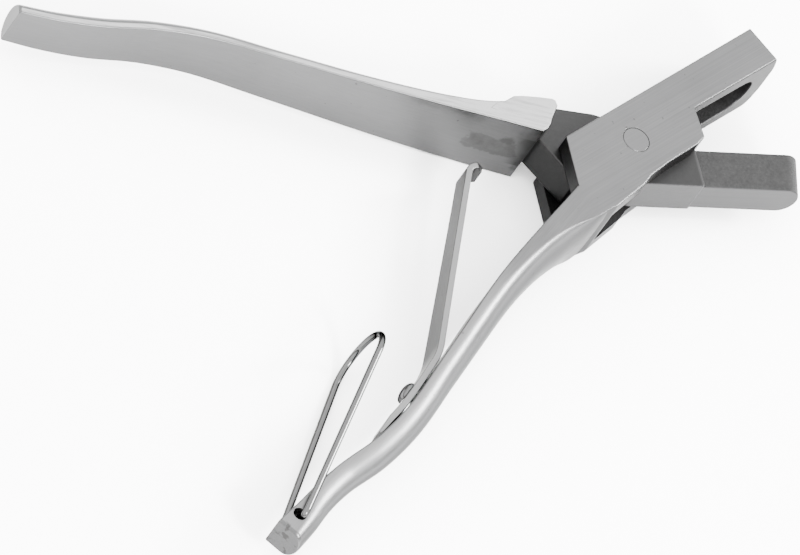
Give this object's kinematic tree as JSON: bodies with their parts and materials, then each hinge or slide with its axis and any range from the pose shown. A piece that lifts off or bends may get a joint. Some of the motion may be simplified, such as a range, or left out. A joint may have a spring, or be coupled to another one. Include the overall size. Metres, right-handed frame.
{
  "type": "ear tag applicator",
  "caption": "Plier-like livestock ear tag applicator: two forged levers in a box joint, channelled jaw, leaf return spring and wire locking bail.",
  "frame": {"origin": "centre of the pivot on the outer face of the lower cheek, which is the face the tool lies on", "axes": "+X from the pivot towards the jaws, midway between them; +Y towards the channelled jaw; +Z along the pivot, up"},
  "size_m": [0.218, 0.1726, 0.022],
  "materials": {
    "body_steel": "fine satin brushing",
    "lever_steel": "satin handle, dark unpolished hub and jaw sides",
    "rivet_steel": "ground flush or domed",
    "spring_steel": "rolled strip",
    "wire_steel": "bright drawn wire"
  },
  "bodies": {
    "frame": {"slotted_body": "body_steel", "pivot_rivet": "rivet_steel", "spring_rivet": "rivet_steel"},
    "lever": {"jaw_lever": "lever_steel"},
    "leaf": {"leaf_spring": "spring_steel"},
    "bail": {"wire_bail": "wire_steel"}
  },
  "joints": [
    {"name": "jaw_pivot", "type": "hinge", "parent": "frame", "child": "lever", "pos_m": [0, 0, 0.011], "axis": [0, 0, 1], "range_deg": [0, 27], "stiffness_Nm_per_rad": 1.2},
    {"name": "leaf_flex", "type": "hinge", "parent": "frame", "child": "leaf", "pos_m": [-0.08238, -0.04145, 0.011], "axis": [0, 0, 1], "range_deg": [-16, 0], "deforming": ["leaf_spring"]},
    {"name": "bail_swing", "type": "hinge", "parent": "frame", "child": "bail", "pos_m": [-0.15268, -0.08102, 0.011], "axis": [0, 0, 1], "range_deg": [0, 150]}
  ],
  "couplings": [
    {"joint": "leaf_flex", "follows": "jaw_pivot", "ratio": -0.58}
  ]
}
